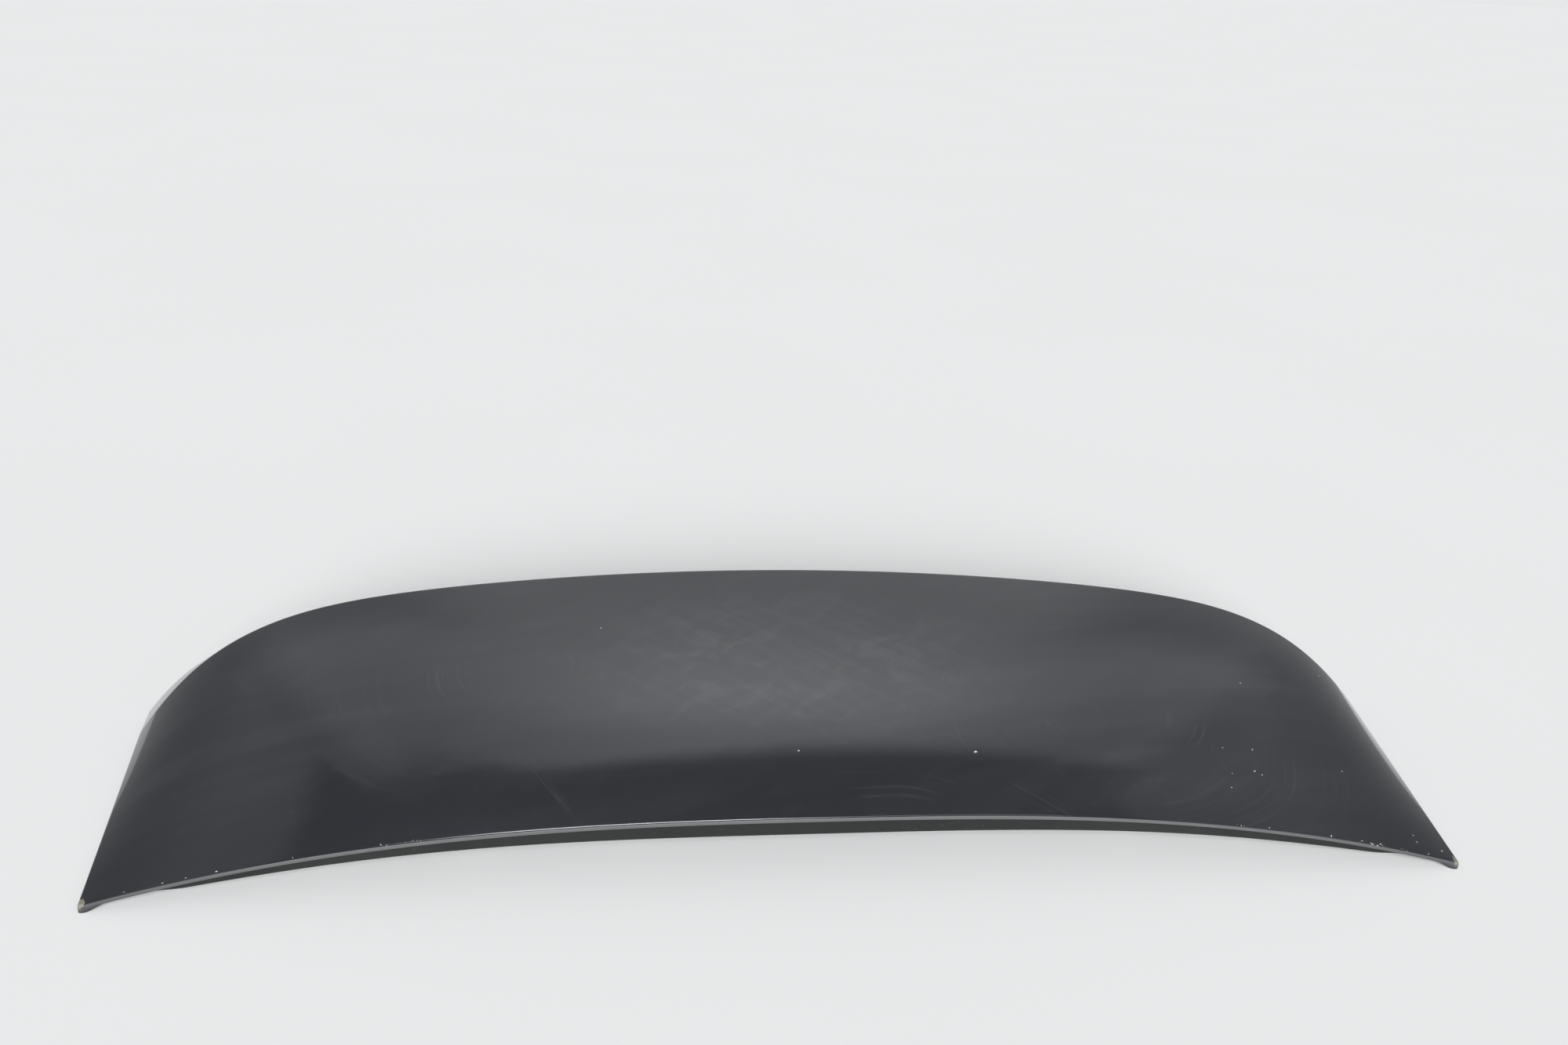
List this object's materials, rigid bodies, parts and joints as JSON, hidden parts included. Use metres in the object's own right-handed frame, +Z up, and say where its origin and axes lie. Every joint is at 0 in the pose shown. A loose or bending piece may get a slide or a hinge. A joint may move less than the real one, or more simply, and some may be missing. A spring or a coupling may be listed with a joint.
{
  "type": "tailgate spoiler",
  "caption": "Wide curved tailgate spoiler: a thin crowned skin with a rounded front lip, rolled ears and a turned-down tail, on a ribbed inner shell with studs and pegs.",
  "frame": {"origin": "centre of the bounding box in plan, on the surface that the front tips and rear feet rest on", "axes": "+X along the span to the object's right as seen from the front edge, +Y from the front (roof) edge to the tail, +Z up"},
  "size_m": [1.221, 0.3584, 0.1167],
  "materials": {
    "skin": "high-gloss black lacquer with fine swirl scratches, hazy smears and chipped, worn edges",
    "shell": "fine-grained matt black moulded plastic",
    "foam": "closed-cell foam",
    "tape": "grey adhesive foam tape",
    "steel": "zinc-plated thread",
    "peg": "natural-coloured nylon"
  },
  "bodies": {
    "root": {"outer_skin": "skin", "inner_shell": "shell", "front_seal": "foam", "ear_tape_left": "tape", "ear_tape_right": "tape", "foam_washer_outer_left": "foam", "foam_washer_inner_left": "foam", "foam_washer_inner_right": "foam", "foam_washer_outer_right": "foam", "stud_outer_left": "steel", "stud_inner_left": "steel", "stud_inner_right": "steel", "stud_outer_right": "steel", "locating_peg_left": "peg", "locating_peg_right": "peg"}
  },
  "joints": []
}
